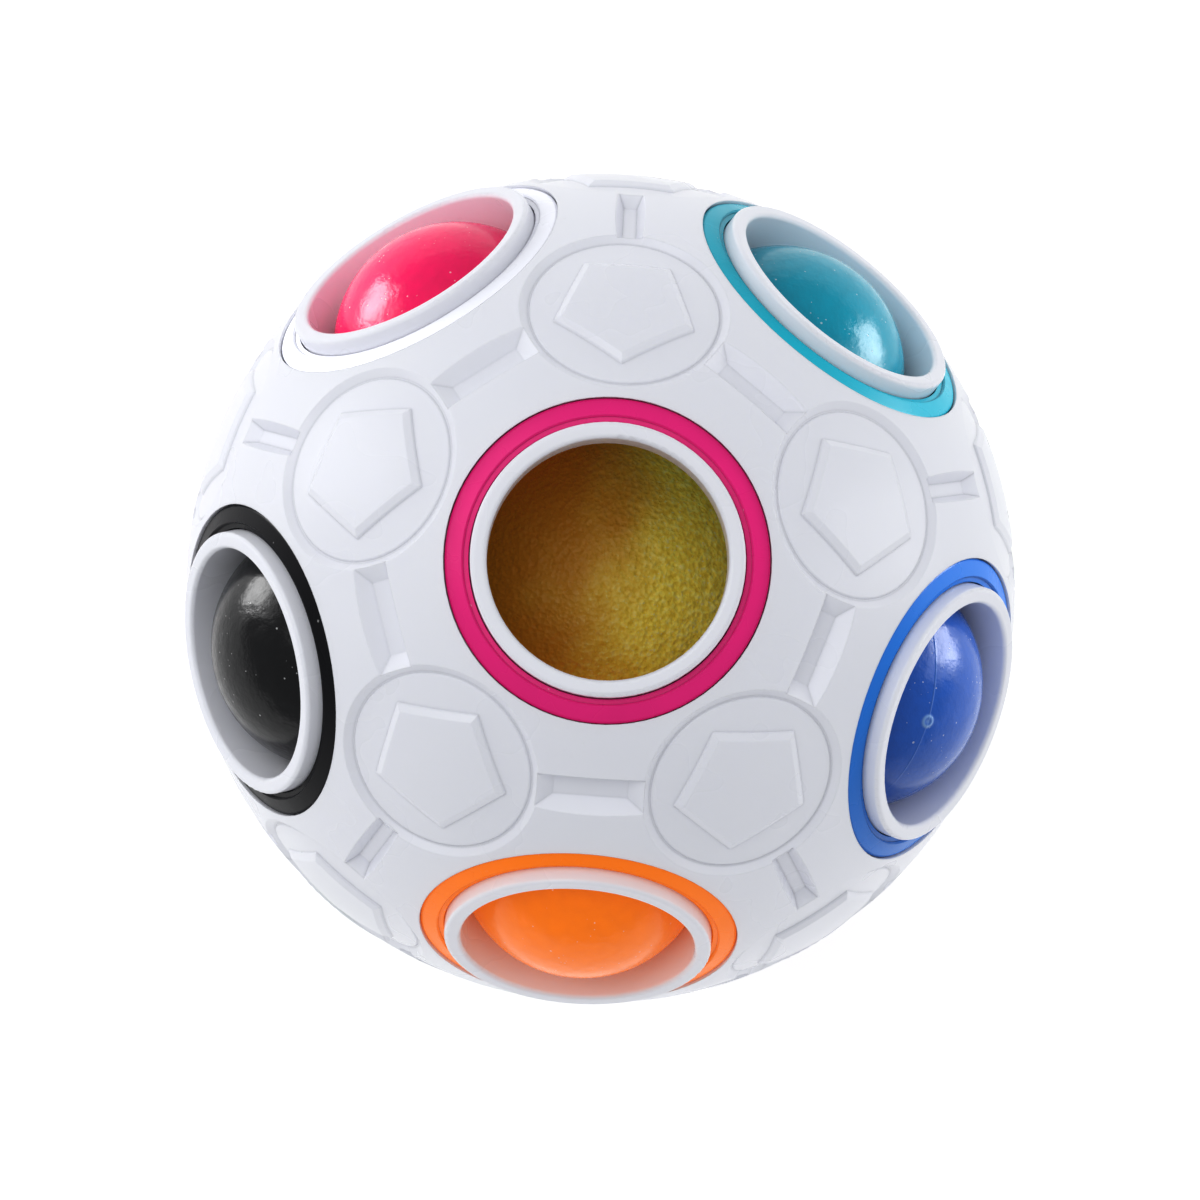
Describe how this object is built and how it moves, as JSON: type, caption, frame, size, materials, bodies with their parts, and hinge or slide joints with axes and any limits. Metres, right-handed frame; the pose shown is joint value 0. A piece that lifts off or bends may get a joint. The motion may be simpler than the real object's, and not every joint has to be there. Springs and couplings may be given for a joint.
{
  "type": "push-ball puzzle",
  "caption": "Hollow puzzle ball with ringed round holes; coloured balls pop through them round a foam core, one hole stays empty.",
  "frame": {"origin": "centre of the ball", "axes": "+Z out through the empty hole, -Z down through the hole that the ball stands on, -Y through the orange hole's side"},
  "size_m": [0.07, 0.0704, 0.068],
  "materials": {
    "white_shell": "gloss",
    "foam": "matte",
    "magenta_ring_plastic": "gloss",
    "sky_ring_plastic": "gloss",
    "teal_ring_plastic": "gloss",
    "white_ring_plastic": "gloss",
    "black_ring_plastic": "gloss",
    "orange_ring_plastic": "gloss",
    "blue_ring_plastic": "gloss",
    "yellow_ring_plastic": "gloss",
    "red_ring_plastic": "gloss",
    "green_ring_plastic": "gloss",
    "purple_ring_plastic": "gloss",
    "lime_ring_plastic": "gloss",
    "magenta_ball_plastic": "satin",
    "sky_ball_plastic": "satin",
    "teal_ball_plastic": "satin",
    "black_ball_plastic": "satin",
    "orange_ball_plastic": "satin",
    "blue_ball_plastic": "satin",
    "yellow_ball_plastic": "satin",
    "red_ball_plastic": "satin",
    "green_ball_plastic": "satin",
    "purple_ball_plastic": "satin",
    "lime_ball_plastic": "satin"
  },
  "bodies": {
    "shell": {"upper_shell": "white_shell", "lower_shell": "white_shell", "ring_magenta": "magenta_ring_plastic", "ring_sky": "sky_ring_plastic", "ring_teal": "teal_ring_plastic", "ring_white": "white_ring_plastic", "ring_black": "black_ring_plastic", "ring_orange": "orange_ring_plastic", "ring_blue": "blue_ring_plastic", "ring_yellow": "yellow_ring_plastic", "ring_red": "red_ring_plastic", "ring_green": "green_ring_plastic", "ring_purple": "purple_ring_plastic", "ring_lime": "lime_ring_plastic", "foam_core": "foam"},
    "magenta_ball": {"ball_magenta": "magenta_ball_plastic"},
    "sky_ball": {"ball_sky": "sky_ball_plastic"},
    "teal_ball": {"ball_teal": "teal_ball_plastic"},
    "black_ball": {"ball_black": "black_ball_plastic"},
    "orange_ball": {"ball_orange": "orange_ball_plastic"},
    "blue_ball": {"ball_blue": "blue_ball_plastic"},
    "yellow_ball": {"ball_yellow": "yellow_ball_plastic"},
    "red_ball": {"ball_red": "red_ball_plastic"},
    "green_ball": {"ball_green": "green_ball_plastic"},
    "purple_ball": {"ball_purple": "purple_ball_plastic"},
    "lime_ball": {"ball_lime": "lime_ball_plastic"}
  },
  "joints": [
    {"name": "magenta_ball_crossing", "type": "hinge", "parent": "shell", "child": "magenta_ball", "pos_m": [-0.00923, 0.0127, 0.0254], "axis": [-0.809, -0.5878, 0], "range_deg": [0, 116.56], "deforming": ["foam_core"]},
    {"name": "sky_ball_press", "type": "slide", "parent": "shell", "child": "sky_ball", "axis": [0, 0, 1], "range_m": [-0.00178, 0.0032], "stiffness_N_per_m": 200, "springref_m": -0.0018, "deforming": ["foam_core"]},
    {"name": "teal_ball_press", "type": "slide", "parent": "shell", "child": "teal_ball", "axis": [-0.5257, -0.7236, -0.4472], "range_m": [0, 0.005], "stiffness_N_per_m": 300, "springref_m": -0.001, "deforming": ["foam_core"]},
    {"name": "black_ball_press", "type": "slide", "parent": "shell", "child": "black_ball", "axis": [0.8507, 0.2764, -0.4472], "range_m": [0, 0.005], "stiffness_N_per_m": 300, "springref_m": -0.001, "deforming": ["foam_core"]},
    {"name": "orange_ball_press", "type": "slide", "parent": "shell", "child": "orange_ball", "axis": [0, 0.8944, -0.4472], "range_m": [0, 0.005], "stiffness_N_per_m": 300, "springref_m": -0.001, "deforming": ["foam_core"]},
    {"name": "blue_ball_press", "type": "slide", "parent": "shell", "child": "blue_ball", "axis": [-0.8507, 0.2764, -0.4472], "range_m": [0, 0.005], "stiffness_N_per_m": 300, "springref_m": -0.001, "deforming": ["foam_core"]},
    {"name": "yellow_ball_press", "type": "slide", "parent": "shell", "child": "yellow_ball", "axis": [0, -0.8944, 0.4472], "range_m": [0, 0.005], "stiffness_N_per_m": 300, "springref_m": -0.001, "deforming": ["foam_core"]},
    {"name": "red_ball_press", "type": "slide", "parent": "shell", "child": "red_ball", "axis": [0.8507, -0.2764, 0.4472], "range_m": [0, 0.005], "stiffness_N_per_m": 300, "springref_m": -0.001, "deforming": ["foam_core"]},
    {"name": "green_ball_press", "type": "slide", "parent": "shell", "child": "green_ball", "axis": [0.5257, 0.7236, 0.4472], "range_m": [0, 0.005], "stiffness_N_per_m": 300, "springref_m": -0.001, "deforming": ["foam_core"]},
    {"name": "purple_ball_press", "type": "slide", "parent": "shell", "child": "purple_ball", "axis": [-0.5257, 0.7236, 0.4472], "range_m": [0, 0.005], "stiffness_N_per_m": 300, "springref_m": -0.001, "deforming": ["foam_core"]},
    {"name": "lime_ball_press", "type": "slide", "parent": "shell", "child": "lime_ball", "axis": [-0.8507, -0.2764, 0.4472], "range_m": [0, 0.005], "stiffness_N_per_m": 300, "springref_m": -0.001, "deforming": ["foam_core"]}
  ]
}
